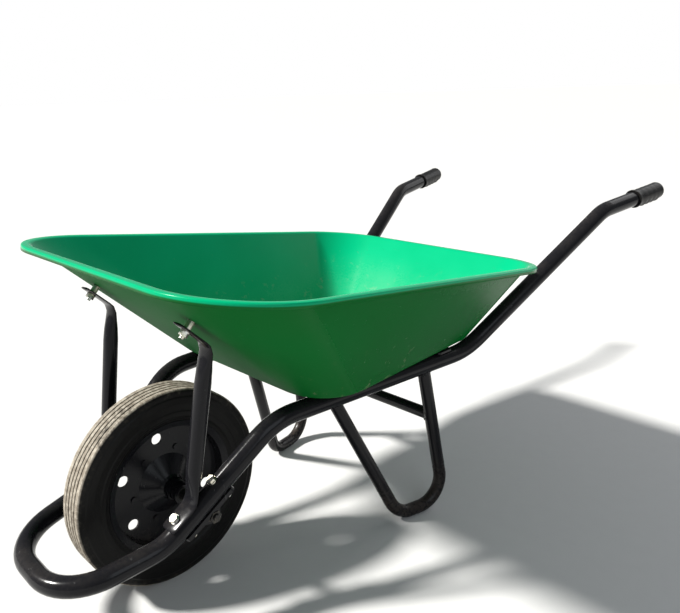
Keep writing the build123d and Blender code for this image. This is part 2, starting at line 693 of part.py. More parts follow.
# ---------------------------------------------------------------- grips
grip_dir = (half_points[0] - half_points[1]).normalized()
grip_start = half_points[0] - grip_dir * (GRIP_LEN - GRIP_END_WALL)
grip_plane = Plane(origin=grip_start, z_dir=grip_dir)
with BuildPart() as grip_right:
    with BuildSketch(grip_plane):
        Circle(GRIP_OD / 2)
    extrude(amount=GRIP_LEN)
    fillet(grip_right.faces().sort_by(Axis.Y)[-1].edges(), GRIP_END_WALL + 1)
    with BuildSketch(grip_plane):
        Circle(GRIP_OD / 2 + 1.5)
    extrude(amount=5)
    add(frame_solid, mode=Mode.SUBTRACT)
grip_left = mirrored(grip_right.part)

# ---------------------------------------------------------------- labels and files
nodes = {
    "frame_tube": frame.part,
    "leg_right": leg_right.part,
    "leg_left": leg_left,
    "leg_cross_brace": brace.part,
    "tray_strap_front": front_strap,
    "tray_strap_rear": rear_strap,
    "bearing_bracket_right": bracket_right.part,
    "bearing_bracket_left": bracket_left,
    "bracket_bolts": bracket_bolts,
    "bracket_washers": bracket_washers,
    "bracket_nuts": bracket_nuts,
    "tray": tray.part,
    "tray_bolts": tray_bolts,
    "tray_washers": tray_washers,
    "tray_nuts": tray_nuts,
    "strut_right": strut_right.part,
    "strut_left": strut_left,
    "strut_bolts": strut_bolts,
    "strut_spacers": strut_spacers,
    "strut_washers": strut_washers,
    "strut_nuts": strut_nuts,
    "axle": axle.part,
    "axle_spacers": axle_spacers,
    "axle_washers": axle_washers,
    "axle_nuts": axle_nuts,
    "tyre": tyre.part,
    "wheel_disc_right": disc_right.part,
    "wheel_disc_left": disc_left,
    "disc_rivets": rivets.part,
    "hub_tube": hub_tube.part,
    "hub_bush_right": bush_right,
    "hub_bush_left": bush_left,
    "grip_right": grip_right.part,
    "grip_left": grip_left,
}
front_end = frame.part.bounding_box().min.Y
back_end = grip_right.part.bounding_box().max.Y
SHIFT_Y = -(front_end + back_end) / 2

os.makedirs("parts", exist_ok=True)
for name, part in nodes.items():
    moved = Pos(0, SHIFT_Y, 0) * part
    moved.label = name
    export_step(moved, "parts/" + name + ".step")
    print(name, len(moved.solids()), round(moved.volume))
print("axle at Y", round(SHIFT_Y, 4))
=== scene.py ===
# %% [markdown]
# A builder's wheelbarrow. The barrow has already been made in CAD: every bolt, tube and bush is a
# node of the frame that is loaded here, in metres, with the wheel at the front (-Y), the grips at
# the back (+Y) and Z up. This lesson gives the pieces that are seen their final shape and finish.

import json
from math import atan2, cos, hypot, pi, radians, sin, tan

import bmesh
import bpy
from mathutils import Matrix, Vector


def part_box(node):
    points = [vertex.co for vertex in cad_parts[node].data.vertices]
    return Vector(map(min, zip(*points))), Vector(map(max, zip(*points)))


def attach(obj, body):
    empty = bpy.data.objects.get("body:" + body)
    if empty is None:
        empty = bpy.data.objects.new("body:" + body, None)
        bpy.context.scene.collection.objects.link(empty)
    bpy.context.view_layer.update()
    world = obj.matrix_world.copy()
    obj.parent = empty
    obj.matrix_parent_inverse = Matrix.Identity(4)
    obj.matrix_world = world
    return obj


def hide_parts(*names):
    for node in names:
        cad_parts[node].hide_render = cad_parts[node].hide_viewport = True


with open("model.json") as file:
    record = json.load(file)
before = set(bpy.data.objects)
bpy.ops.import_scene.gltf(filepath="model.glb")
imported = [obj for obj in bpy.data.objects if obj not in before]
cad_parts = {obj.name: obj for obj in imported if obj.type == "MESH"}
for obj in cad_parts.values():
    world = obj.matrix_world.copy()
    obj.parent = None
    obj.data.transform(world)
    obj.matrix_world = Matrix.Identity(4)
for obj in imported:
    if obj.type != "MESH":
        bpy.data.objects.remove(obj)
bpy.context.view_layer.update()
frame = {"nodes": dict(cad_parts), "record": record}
nodes = frame["nodes"]

# %% [markdown]
# The camera stands in front of the wheel and to its right, a little above the tray, and looks
# back along the barrow. It is placed by its position and by three angles, and its lens is
# shifted a little off centre.

# %% Camera
CAMERA_PLACE = Vector((0.9964, -1.0252, 0.8308))
CAMERA_AROUND = 0.850
CAMERA_UP = 0.263
CAMERA_ROLL = -0.035
CAMERA_LENS = 37.36
CAMERA_SHIFT = (0.069, -0.0315)


def camera_axes(around, up, roll):
    """Right, up and backward directions of the camera."""
    back = Vector((sin(around) * cos(up), -cos(around) * cos(up), sin(up)))
    level = Vector((0, 0, 1)).cross(back).normalized()
    above = back.cross(level)
    right = level * cos(roll) + above * sin(roll)
    return right, back.cross(right), back


def new_object(name, data):
    made = bpy.data.objects.new(name, data)
    bpy.context.scene.collection.objects.link(made)
    return made


camera_data = bpy.data.cameras.new("camera")
camera_data.lens = CAMERA_LENS
camera_data.shift_x, camera_data.shift_y = CAMERA_SHIFT
camera = new_object("camera", camera_data)
turn = Matrix(camera_axes(CAMERA_AROUND, CAMERA_UP, CAMERA_ROLL)).transposed().to_4x4()
camera.matrix_world = Matrix.Translation(CAMERA_PLACE) @ turn
bpy.context.scene.camera = camera
print("camera at", tuple(round(c, 3) for c in CAMERA_PLACE))

# %% [markdown]
# A sun ahead of the barrow and to its left lights the back of the tray and the lip, and throws the
# shadow of the far rim into the tray. An area lamp could do this too, but its light fades with
# distance, while a sun lights the floor evenly to the horizon. Gloss paint only looks glossy when
# it has something to mirror, so two large weak lamps give the tubes their long soft highlights.

# %% Floor and lights
GROUND_HALF = 300
SUN_FROM = (-1.9, -2.6, 2.9)
SUN_POWER = 9.0
SUN_ANGLE = radians(6)


def new_light(name, kind, place, target, power, colour):
    """A lamp that faces a target."""
    data = bpy.data.lights.new(name, kind)
    data.energy = power
    data.color = colour
    light = new_object(name, data)
    aim = (Vector(target) - Vector(place)).to_track_quat("-Z", "Y")
    light.matrix_world = Matrix.Translation(place) @ aim.to_matrix().to_4x4()
    return data


floor_bm = bmesh.new()
bmesh.ops.create_grid(floor_bm, x_segments=1, y_segments=1, size=GROUND_HALF)
floor_mesh = bpy.data.meshes.new("floor")
floor_bm.to_mesh(floor_mesh)
floor_bm.free()
floor = new_object("floor", floor_mesh)
new_light("sun", "SUN", SUN_FROM, (0, 0, 0), SUN_POWER, (1.0, 0.98, 0.94)).angle = SUN_ANGLE
new_light("side", "AREA", (2.6, -0.6, 1.6), (0, 0, 0.3), 14, (0.85, 0.93, 1.0)).size = 1.6
new_light("back", "AREA", (0.6, 3.0, 1.8), (0, 0.2, 0.4), 26, (1.0, 1.0, 1.0)).size = 2.0
print("lights:", [light.name for light in bpy.data.lights])

# %% [markdown]
# The sky lights the barrow weakly, so that its shaded walls stay deep, but the sky that is seen is
# as pale as the floor, which the Light Path node allows. The Standard view keeps a strong green
# strong, where the one that Blender starts with greys it.

# %% Sky
SKY_LIGHT = 0.3
SKY_SEEN = 1.0
bpy.context.scene.view_settings.view_transform = "Standard"
world = bpy.data.worlds.new("world")
world.use_nodes = True
sky = world.node_tree.nodes["Background"]
sky.inputs["Color"].default_value = (0.9, 0.95, 1.0, 1)
sky.inputs["Strength"].default_value = SKY_LIGHT
seen = world.node_tree.nodes.new("ShaderNodeBackground")
seen.inputs["Color"].default_value = (1, 1, 1, 1)
seen.inputs["Strength"].default_value = SKY_SEEN
path = world.node_tree.nodes.new("ShaderNodeLightPath")
either = world.node_tree.nodes.new("ShaderNodeMixShader")
for source, target in (
    (path.outputs["Is Camera Ray"], either.inputs[0]),
    (sky.outputs[0], either.inputs[1]),
    (seen.outputs[0], either.inputs[2]),
    (either.outputs[0], world.node_tree.nodes["World Output"].inputs[0]),
):
    world.node_tree.links.new(source, target)
bpy.context.scene.world = world
print("sky lights at", SKY_LIGHT, "and is seen at", SKY_SEEN)

# %% [markdown]
# Each finish below is a small sum of masks: dust where a face looks up, a film near the ground,
# scratches where a noise is thin. Written as nodes such sums are long, so one class wraps a socket
# and lets Python's own + - * ** make the Math nodes, and one method adds most of the other nodes.

# %% Shader sums
class Sum:
    """A number socket that can be used in Python arithmetic."""

    def __init__(self, tree, socket):
        self.tree = tree
        self.socket = socket

    def math(self, operation, *values):
        node = self.tree.nodes.new("ShaderNodeMath")
        node.operation = operation
        for index, value in enumerate(values):
            if isinstance(value, Sum):
                self.tree.links.new(value.socket, node.inputs[index])
            else:
                node.inputs[index].default_value = value
        return Sum(self.tree, node.outputs[0])

    def __add__(self, other):
        return self.math("ADD", self, other)

    def __mul__(self, other):
        return self.math("MULTIPLY", self, other)

    def __sub__(self, other):
        return self.math("SUBTRACT", self, other)

    def __rsub__(self, other):
        return self.math("SUBTRACT", other, self)

    def __pow__(self, other):
        return self.math("POWER", self, other)

    __radd__ = __add__
    __rmul__ = __mul__

    def step(self, low, high):
        """0 below low, 1 above high, and smooth between them."""
        node = self.tree.nodes.new("ShaderNodeMapRange")
        node.interpolation_type = "SMOOTHSTEP"
        self.tree.links.new(self.socket, node.inputs["Value"])
        node.inputs["From Min"].default_value = low
        node.inputs["From Max"].default_value = high
        return Sum(self.tree, node.outputs["Result"])


class Finish:
    """A material being made: its shader, its nodes and the masks most finishes share."""

    def __init__(self, name, colour, roughness, metallic=0.0):
        self.material = bpy.data.materials.new(name)
        self.material.use_nodes = True
        self.tree = self.material.node_tree
        self.shader = self.tree.nodes["Principled BSDF"]
        self.shader.inputs["Base Color"].default_value = (*colour, 1)
        self.shader.inputs["Roughness"].default_value = roughness
        self.shader.inputs["Metallic"].default_value = metallic
        self.place = self.node("ShaderNodeTexCoord", out="Object")

    def node(self, kind, settings=None, values=None, out=0):
        """One node: its settings first, then the values or links of its sockets."""
        made = self.tree.nodes.new(kind)
        for key, value in (settings or {}).items():
            setattr(made, key, value)
        for key, value in (values or {}).items():
            if isinstance(value, Sum):
                self.tree.links.new(value.socket, made.inputs[key])
            else:
                made.inputs[key].default_value = value
        return Sum(self.tree, made.outputs[out])

    def mapped(self, scale=(1, 1, 1), turn=(0, 0, 0), move=(0, 0, 0)):
        values = {"Vector": self.place, "Scale": scale, "Rotation": turn, "Location": move}
        return self.node("ShaderNodeMapping", {}, values)

    def noise(self, scale, detail=2.0, rough=0.5, along=None):
        values = {"Vector": along or self.place, "Scale": scale, "Detail": detail}
        values["Roughness"] = rough
        return self.node("ShaderNodeTexNoise", {}, values)

    def axis(self, letter):
        return self.node("ShaderNodeSeparateXYZ", {}, {"Vector": self.place}, letter)

    def facing_up(self):
        normal = self.node("ShaderNodeNewGeometry", out="Normal")
        return self.node("ShaderNodeSeparateXYZ", {}, {"Vector": normal}, "Z")

    def mix(self, mask, first, second):
        """Colour going from first to second where the mask is 1."""
        settings = {"data_type": "RGBA", "clamp_factor": True}
        values = {0: mask, 6: first, 7: second}
        values = {k: (*v, 1) if isinstance(v, tuple) else v for k, v in values.items()}
        return self.node("ShaderNodeMix", settings, values, 2)

    def feed(self, socket, value):
        self.tree.links.new(value.socket, self.shader.inputs[socket])

    def bump(self, height, distance, strength=1.0):
        values = {"Height": height, "Distance": distance, "Strength": strength}
        self.feed("Normal", self.node("ShaderNodeBump", {}, values))


print("shader helpers ready")

# %% [markdown]
# The tubes are dipped and stoved in cheap gloss black: very dark and shiny, with a faint orange
# peel, hair scratches that show a greyer line, a little dust on what looks up and a brown film
# on the feet. A height mask keeps the film near the ground.

# %% Black frame paint
GROUND_FILM = 0.15


def black_paint(name, roughness, dusty):
    paint = Finish(name, (0.006, 0.006, 0.007), roughness)
    paint.shader.inputs["IOR"].default_value = 1.25
    cloud = paint.noise(9, 4, 0.6)
    speck = paint.noise(160, 3, 0.6)
    hair = paint.noise(6, 5, 0.7, paint.mapped((30, 30, 3), (0.3, 0.2, 0.4)))
    scratch = hair.step(0.655, 0.68) * cloud.step(0.45, 0.6)
    low = 1 - paint.axis("Z").step(0.0, GROUND_FILM)
    film = low * (cloud * 0.7 + speck * 0.7).step(0.55, 0.95)
    dust = paint.facing_up().step(0.1, 0.95) * (cloud * 0.8 + speck * 0.4).step(0.45, 0.85)
    base = paint.mix(cloud, (0.004, 0.004, 0.005), (0.009, 0.009, 0.011))
    base = paint.mix(dust * dusty, base, (0.13, 0.11, 0.085))
    base = paint.mix(film * 0.2, base, (0.12, 0.085, 0.055))
    base = paint.mix(scratch * 0.6, base, (0.12, 0.12, 0.12))
    paint.feed("Base Color", base)
    rough = cloud * 0.14 + speck * 0.06 + (roughness - 0.08)
    paint.feed("Roughness", rough + dust * dusty * 0.4 + film * 0.35 + scratch * 0.2)
    peel = paint.noise(420, 1, 0.4)
    paint.bump(peel * 0.5 + speck * 0.3 - scratch * 0.5, 0.0001, 0.5)
    return paint.material


frame_paint = black_paint("gloss black tube paint", 0.15, 0.08)
wheel_paint = black_paint("gloss black wheel paint", 0.19, 0.06)
print("made", frame_paint.name, "and", wheel_paint.name)

# %% [markdown]
# The tray is sprayed gloss green. Its colour comes in two copies, lit and shaded: a bright green on
# the faces that look up, which is painted sunlight, and a deeper green underneath, which is painted
# shade; the underside is also duller. Shovels have left fine scratches in two directions, and low
# down there is a faint bloom and a few dried splashes. The scratches come from noises drawn out
# long, which costs less than modelling them. A height mask keeps the dirt near the tray's floor.

# %% Green tray paint
TRAY_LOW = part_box("tray")[0]
DIRT_HEIGHT = 0.12


def green_paint(name):
    paint = Finish(name, (0.0, 0.15, 0.045), 0.2)
    paint.shader.inputs["IOR"].default_value = 1.17
    cloud = paint.noise(5, 4, 0.55)
    speck = paint.noise(220, 3, 0.6)
    first = paint.noise(5, 6, 0.7, paint.mapped((2, 34, 30), (0.2, 0.5, 0.5)))
    second = paint.noise(5, 6, 0.7, paint.mapped((32, 2, 26), (0.6, 0.1, -0.6)))
    scratch = first.step(0.66, 0.69) + second.step(0.67, 0.7)
    up = paint.facing_up()
    height = paint.axis("Z")
    low = 1 - height.step(TRAY_LOW[2], TRAY_LOW[2] + DIRT_HEIGHT)
    bloom = up.step(0.2, 0.8) * low * (cloud + speck * 0.4).step(0.5, 0.9)
    splash = low * paint.noise(38, 4, 0.7).step(0.6, 0.68)
    # Painted light and shade: faces that look up get the bright green, as if sunlit, and faces
    # turned down get the deeper green, as painted shade.
    inside = paint.mix(cloud, (0.0, 0.25, 0.1), (0.0, 0.32, 0.15))
    outside = paint.mix(cloud, (0.0, 0.085, 0.01), (0.0, 0.11, 0.018))
    base = paint.mix(up.step(-0.25, 0.05), outside, inside)
    base = paint.mix(scratch * cloud.step(0.4, 0.6) * 0.35, base, (0.08, 0.3, 0.15))
    base = paint.mix(bloom * 0.12, base, (0.22, 0.27, 0.17))
    base = paint.mix(splash * 0.25, base, (0.3, 0.29, 0.2))
    paint.feed("Base Color", base)
    rough = cloud * 0.16 + speck * 0.08 + 0.1
    under = (0 - up).step(0.5, 0.7)
    paint.feed("Roughness", rough + scratch * 0.12 + bloom * 0.3 + splash * 0.3 + under * 0.45)
    wave = paint.noise(2.6, 1, 0.4)
    peel = paint.noise(380, 1, 0.4)
    paint.bump(peel * 0.16 + speck * 0.08 - scratch * 0.2 + wave * 12, 0.0006, 0.6)
    return paint.material


tray_paint = green_paint("gloss green tray paint")
print("made", tray_paint.name)

# %% [markdown]
# The bolts are plated with zinc, which is bright but never even: it has a fine crystal mottle and
# a yellow tint in patches. The axle and its nuts are plain steel, dark with oil and grime. Both
# are metals, so their colour is that of their mirror, and the grime lowers Metallic where it lies.

# %% Zinc plate and oiled steel
def zinc_plate(name):
    zinc = Finish(name, (0.7, 0.69, 0.65), 0.3, 1.0)
    mottle = zinc.noise(700, 3, 0.6)
    patch = zinc.noise(60, 2, 0.5)
    base = zinc.mix(patch.step(0.35, 0.65), (0.74, 0.74, 0.72), (0.62, 0.58, 0.46))
    zinc.feed("Base Color", zinc.mix(mottle.step(0.6, 0.75) * 0.5, base, (0.5, 0.5, 0.48)))
    zinc.feed("Roughness", mottle * 0.3 + patch * 0.1 + 0.12)
    zinc.bump(mottle, 0.0002, 0.4)
    return zinc.material


def oiled_steel(name):
    steel = Finish(name, (0.05, 0.048, 0.045), 0.4, 0.85)
    grime = steel.noise(90, 4, 0.65)
    grain = steel.noise(800, 2, 0.5)
    base = steel.mix(grime.step(0.4, 0.7), (0.035, 0.034, 0.033), (0.09, 0.08, 0.065))
    steel.feed("Base Color", base)
    steel.feed("Metallic", 0.9 - grime.step(0.5, 0.75) * 0.6)
    steel.feed("Roughness", grime * 0.3 + grain * 0.12 + 0.2)
    steel.bump(grime * 0.6 + grain * 0.4, 0.0002, 0.5)
    return steel.material


zinc_finish = zinc_plate("bright zinc")
steel_finish = oiled_steel("oiled dark steel")
print("made", zinc_finish.name, "and", steel_finish.name)

# %% [markdown]
# The bushes are black nylon and the grips a softer black plastic. Both have a fine grain from the
# mould and are worn paler in patches, so one function makes both, with its own grain for each.

# %% Nylon and grip plastic
def moulded(name, colour, worn, roughness, grain):
    plastic = Finish(name, colour, roughness)
    plastic.shader.inputs["IOR"].default_value = 1.25
    cloud = plastic.noise(25, 3, 0.6)
    speck = plastic.noise(grain, 2, 0.6)
    plastic.feed("Base Color", plastic.mix(cloud.step(0.4, 0.75) * 0.5, colour, worn))
    plastic.feed("Roughness", cloud * 0.2 + speck * 0.14 + (roughness - 0.16))
    plastic.bump(speck + cloud * 0.5, 0.0003, 0.5)
    return plastic.material


nylon_finish = moulded("black nylon", (0.02, 0.02, 0.02), (0.05, 0.045, 0.038), 0.5, 600)
grip_finish = moulded("soft black grip", (0.006, 0.006, 0.006), (0.018, 0.016, 0.014), 0.34, 900)
print("made", nylon_finish.name, "and", grip_finish.name)

# %% [markdown]
# The tyre is solid black rubber. The tread has been rolled through pale dust, which covers the
# ribs and hardly the grooves, while the side walls stay black and a little shiny. The mask is the
# distance from the axle, measured on the piece itself, so the dust turns with the wheel.

# %% Tyre rubber
TYRE_LOW, TYRE_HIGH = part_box("tyre")
AXLE_Y = (TYRE_LOW[1] + TYRE_HIGH[1]) / 2
AXLE_Z = (TYRE_LOW[2] + TYRE_HIGH[2]) / 2
TYRE_R = (TYRE_HIGH[2] - TYRE_LOW[2]) / 2


def tyre_rubber(name):
    rubber = Finish(name, (0.005, 0.005, 0.005), 0.5)
    rubber.shader.inputs["IOR"].default_value = 1.2
    across = rubber.axis("Y") - AXLE_Y
    above = rubber.axis("Z") - AXLE_Z
    out = (across * across + above * above) ** 0.5
    fine = rubber.noise(120, 5, 0.65)
    cloud = rubber.noise(14, 3, 0.6)
    tread = out.step(TYRE_R - 0.0035, TYRE_R - 0.0008)
    dusty = tread * (fine * 0.5 + cloud * 0.7).step(0.3, 0.58)
    shoulder = out.step(TYRE_R - 0.016, TYRE_R - 0.002) * (fine + cloud * 0.3).step(0.62, 0.9)
    base = rubber.mix(cloud, (0.003, 0.003, 0.003), (0.008, 0.0075, 0.007))
    base = rubber.mix(shoulder * 0.4, base, (0.1, 0.085, 0.065))
    pale = rubber.mix(fine.step(0.35, 0.7), (0.17, 0.145, 0.115), (0.34, 0.31, 0.26))
    rubber.feed("Base Color", rubber.mix(dusty * 0.92, base, pale))
    rubber.feed("Roughness", dusty * 0.4 + shoulder * 0.2 + fine * 0.14 + 0.32)
    rubber.bump(fine * 0.7 + cloud * 0.6, 0.0006, 0.5)
    return rubber.material


rubber_finish = tyre_rubber("solid tyre rubber")
print("tyre radius", round(TYRE_R, 4), "axle at", round(AXLE_Y, 4), round(AXLE_Z, 4))

# %% [markdown]
# A CAD node whose shape is right only needs its finish. The record says which slot each node
# belongs to, so one table from slot to finish dresses all of them. Only the axle's own hardware
# leaves its slot's bright zinc for the dark steel.

# %% Dress the CAD nodes
FINISHES = {
    "frame_paint": frame_paint,
    "wheel_paint": wheel_paint,
    "tray_paint": tray_paint,
    "zinc": zinc_finish,
    "tyre_rubber": rubber_finish,
    "bush_nylon": nylon_finish,
    "grip_plastic": grip_finish,
}
slot_of = {part["node"]: part["material_slot"] for part in frame["record"]["subparts"]}
for name, node in nodes.items():
    finish = steel_finish if name.startswith("axle") else FINISHES[slot_of[name]]
    for material_slot in node.material_slots:
        material_slot.material = finish
print("dressed", len(slot_of), "nodes")

# %% [markdown]
# The floor is pale and plain, with a cloudy grain so faint that it only keeps it from looking cut
# out of paper.

# %% Floor finish
floor_finish = Finish("pale floor", (0.45, 0.45, 0.44), 0.7)
grain = floor_finish.noise(30, 4, 0.6)
floor_colour = floor_finish.mix(grain, (0.49, 0.49, 0.485), (0.52, 0.52, 0.515))
floor_finish.feed("Base Color", floor_colour)
floor_mesh.materials.append(floor_finish.material)
print("made", floor_finish.material.name)

# %% [markdown]
# The tray is one deep-drawn sheet 1.2 mm thick: a floor with rounded corners, sloping walls, a
# flat flange round the top and a lip turned down from it. It could be a box that is pulled about,
# but its corners open out from a small radius at the floor to a large one at the rim. So the
# floor's outline and the rim's are each a quad whose corners are rounded by a vertex bevel, and
# the walls are bridged between them. The folds are then bevelled and the sheet is thickened.

# %% Measures of the tray
TRAY_SHEET = 0.0012
RIM_FRONT = Vector((0, -0.115 + AXLE_Y, 0.593))
RIM_RUN = 0.884
RIM_DROP = 0.116
RIM_FALL = atan2(RIM_DROP, RIM_RUN)
RIM_LENGTH = hypot(RIM_DROP, RIM_RUN)
RIM_HALVES = (0.371, 0.304)
RIM_RADII = (0.164, 0.128)
RIM_FLANGE = 0.016
RIM_LIP = 0.010
LIP_INSET = TRAY_SHEET + 0.00015
FLOOR_ENDS = (0.176 + AXLE_Y, 0.632 + AXLE_Y)
FLOOR_HALVES = (0.236, 0.198)
FLOOR_RADII = (0.09, 0.055)
FLOOR_FOLD = 0.0127
FLANGE_FOLD = 0.004
LIP_FOLD = 0.0016
rim_place = Matrix.Translation(RIM_FRONT) @ Matrix.Rotation(-RIM_FALL, 4, "X")
print("tray floor at", round(TRAY_LOW[2], 4), "and rim", round(RIM_LENGTH, 4), "long")

# %% [markdown]
# Every outline of the tray, floor or rim, is the same kind of shape: four straight sides, narrower
# at the back, with corners rounded by a vertex bevel. The bevel asks for the distance from the
# corner to where its arc starts, which follows from the radius and the angle of the corner.

# %% Rounded outlines
CORNER_STEPS = 22


def rounded_outline(bm, ends, halves, radii, inset, height, place):
    """A face with four rounded corners: front and rear ends, half widths and radii."""
    made = bmesh.ops.create_grid(bm, x_segments=1, y_segments=1, size=1)["verts"]
    corners = {0: [], 1: []}
    for corner in made:
        rear = corner.co.y > 0
        side = 1 if corner.co.x > 0 else -1
        end = ends[rear] + (-inset if rear else inset)
        corner.co = (side * (halves[rear] - inset), end, height)
        corners[rear].append(corner)
    lean = atan2(halves[0] - halves[1], ends[1] - ends[0])
    for rear in (0, 1):
        inside = pi / 2 + (lean if rear else -lean)
        setback = (radii[rear] - inset) / tan(inside / 2)
        rounded = bmesh.ops.bevel(
            bm,
            geom=corners[rear],
            offset=setback,
            offset_type="OFFSET",
            affect="VERTICES",
            segments=CORNER_STEPS,
            profile=0.5,
            material=-1,
        )
    face = rounded["verts"][0].link_faces[0]
    bmesh.ops.transform(bm, matrix=place, verts=face.verts)
    return face


# %% [markdown]
# Each new piece ends the same way: the bmesh becomes a mesh with smooth shading and one finish, the
# piece is hung on its body, and the CAD nodes, if any, that it stands for are hidden.

# %% Finish a bmesh as a piece
def make_piece(name, bm, finish, body, replaced):
    """Turns a bmesh into a smooth object that rides on a body and stands for CAD nodes."""
    mesh = bpy.data.meshes.new(name)
    bm.to_mesh(mesh)
    bm.free()
    mesh.shade_smooth()
    mesh.materials.append(finish)
    piece = new_object(name, mesh)
    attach(piece, body)
    if replaced:
        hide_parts(*replaced)
    print(name, len(mesh.polygons), "faces")
    return piece


# %% [markdown]
# The outlines are bridged in order: the floor's to the flange's inner one, that to the flange's
# outer one, and that to the lower edge of the lip. Two loops in one plane can be paired crosswise,
# so the outer one is lifted while the bridges are made and is let down again afterwards.

# %% The tray
FLANGE_LIFT = 0.1


def bevel_edges(bm, edges, offset, segments):
    bmesh.ops.bevel(
        bm,
        geom=edges,
        offset=offset,
        offset_type="OFFSET",
        affect="EDGES",
        segments=segments,
        profile=0.5,
        material=-1,
        clamp_overlap=True,
    )


tray_bm = bmesh.new()
flat = Matrix.Identity(4)
rim_ends = (0.0, RIM_LENGTH)
outlines = [rounded_outline(tray_bm, FLOOR_ENDS, FLOOR_HALVES, FLOOR_RADII, 0, TRAY_LOW[2], flat)]
for inset, height in (
    (RIM_FLANGE, -TRAY_SHEET),
    (LIP_INSET, -TRAY_SHEET),
    (LIP_INSET, -RIM_LIP),
):
    ring = rounded_outline(tray_bm, rim_ends, RIM_HALVES, RIM_RADII, inset, height, rim_place)
    outlines.append(ring)
loops = [list(face.edges) for face in outlines]
bmesh.ops.delete(tray_bm, geom=outlines[1:], context="FACES_ONLY")
flange_verts = list({vert for edge in loops[2] for vert in edge.verts})
lift = rim_place.to_3x3() @ Vector((0, 0, FLANGE_LIFT))
bmesh.ops.translate(tray_bm, verts=flange_verts, vec=lift)
for lower, upper in zip(loops, loops[1:]):
    bmesh.ops.bridge_loops(tray_bm, edges=lower + upper)
bmesh.ops.translate(tray_bm, verts=flange_verts, vec=-lift)
print("tray sheet:", len(tray_bm.faces), "faces before its folds are rounded")
bevel_edges(tray_bm, loops[0], FLOOR_FOLD, 7)
bevel_edges(tray_bm, loops[1], FLANGE_FOLD, 4)
bevel_edges(tray_bm, loops[2], LIP_FOLD, 3)
bmesh.ops.recalc_face_normals(tray_bm, faces=tray_bm.faces)
floor_face = min(tray_bm.faces, key=lambda face: face.calc_center_median().z)
if floor_face.normal.z < 0:
    bmesh.ops.reverse_faces(tray_bm, faces=tray_bm.faces)
tray_piece = make_piece("tray_sheet", tray_bm, tray_paint, "barrow", ["tray"])
sheet = tray_piece.modifiers.new("sheet", "SOLIDIFY")
sheet.thickness = TRAY_SHEET
sheet.offset = 1
sheet.use_even_offset = True

# %% [markdown]
# The tyre is one solid ring of rubber. Its section is drawn as a short outline with the ribs and
# grooves of the tread, a moulded line on each side wall and the seat for the wheel. Rounding the
# outline's corners first and spinning it once round the axle gives every rib a soft edge, which a
# bevel on the finished ring would do less evenly.

# %% Tyre
TREAD_HALF = 0.024
GROOVES = 4
GROOVE_HALF = 0.0015
GROOVE_DEEP = 0.0026
SECTION_SOFT = 0.0007
SPIN_STEPS = 168
AXLE = Vector((0, AXLE_Y, AXLE_Z))


def outline_loop(bm, points):
    """A closed loop of edges in the plane that holds the axle, from (x, radius) points."""
    verts = [bm.verts.new((x, 0, radius)) for x, radius in points]
    for first, second in zip(verts, verts[1:] + verts[:1]):
        bm.edges.new((first, second))
    return verts


def soften(bm, verts, offset, segments=3):
    bmesh.ops.bevel(
        bm,
        geom=verts,
        offset=offset,
        offset_type="OFFSET",
        affect="VERTICES",
        segments=segments,
        profile=0.5,
        material=-1,
        clamp_overlap=True,
    )


def spin_round(bm, steps):
    """Turns the whole outline round the X axis and closes it."""
    geometry = bm.verts[:] + bm.edges[:]
    bmesh.ops.spin(
        bm,
        geom=geometry,
        cent=(0, 0, 0),
        axis=(1, 0, 0),
        angle=2 * pi,
        steps=steps,
        use_merge=True,
        use_duplicate=False,
    )
    bmesh.ops.remove_doubles(bm, verts=bm.verts, dist=0.00002)
    bmesh.ops.recalc_face_normals(bm, faces=bm.faces)


side_wall = [
    (0.0008, 0.107),
    (0.0195, 0.110),
    (0.0245, 0.121),
    (0.0262, 0.1265),
    (0.0285, 0.129),
    (0.0297, 0.138),
    (0.0287, 0.1405),
    (0.0298, 0.152),
    (0.0292, 0.163),
    (0.0278, 0.1655),
    (0.0276, 0.1715),
    (0.0262, 0.1755),
]
pitch = 2 * TREAD_HALF / (GROOVES + 1)
tread = [(TREAD_HALF, TYRE_R)]
for number in range(GROOVES):
    middle = TREAD_HALF - pitch * (number + 1)
    tread.append((middle + GROOVE_HALF, TYRE_R))
    tread.append((middle + GROOVE_HALF * 0.6, TYRE_R - GROOVE_DEEP))
    tread.append((middle - GROOVE_HALF * 0.6, TYRE_R - GROOVE_DEEP))
    tread.append((middle - GROOVE_HALF, TYRE_R))
tread.append((-TREAD_HALF, TYRE_R))
tyre_bm = bmesh.new()
section = side_wall + tread + [(-x, radius) for x, radius in reversed(side_wall)]
soften(tyre_bm, outline_loop(tyre_bm, section), SECTION_SOFT)
spin_round(tyre_bm, SPIN_STEPS)
bmesh.ops.translate(tyre_bm, verts=tyre_bm.verts, vec=AXLE)
make_piece("tyre_ring", tyre_bm, rubber_finish, "wheel", ["tyre"])

# %% [markdown]
# Each grip is a soft plastic sleeve pushed on the end of the tube. It starts with a thick collar,
# has four knuckle ridges along its underside, ends in a dome and is bored for the tube. It is spun
# like the tyre, then the rings at the ridges are pushed down on the lower side only. The whole
# grip is last turned on to the tube's axis, which the record's mount gives: the mount's point is
# the middle of the grip's free length, which starts behind the collar.

# %% Grips
GRIP_R = 0.0195
GRIP_LONG = 0.100
COLLAR_R = 0.021
COLLAR_LONG = 0.007
DOME_R = 0.011
BORE_R = 0.01695
BORE_END = 0.091
RIDGES = (0.026, 0.043, 0.060, 0.077)
RIDGE_OUT = 0.0034
RIDGE_HALF = 0.005
VALLEY_R = GRIP_R - 0.0006
FREE_LENGTH = 0.081
COLLAR_SOFT = 0.0009
GRIP_STEPS = 48


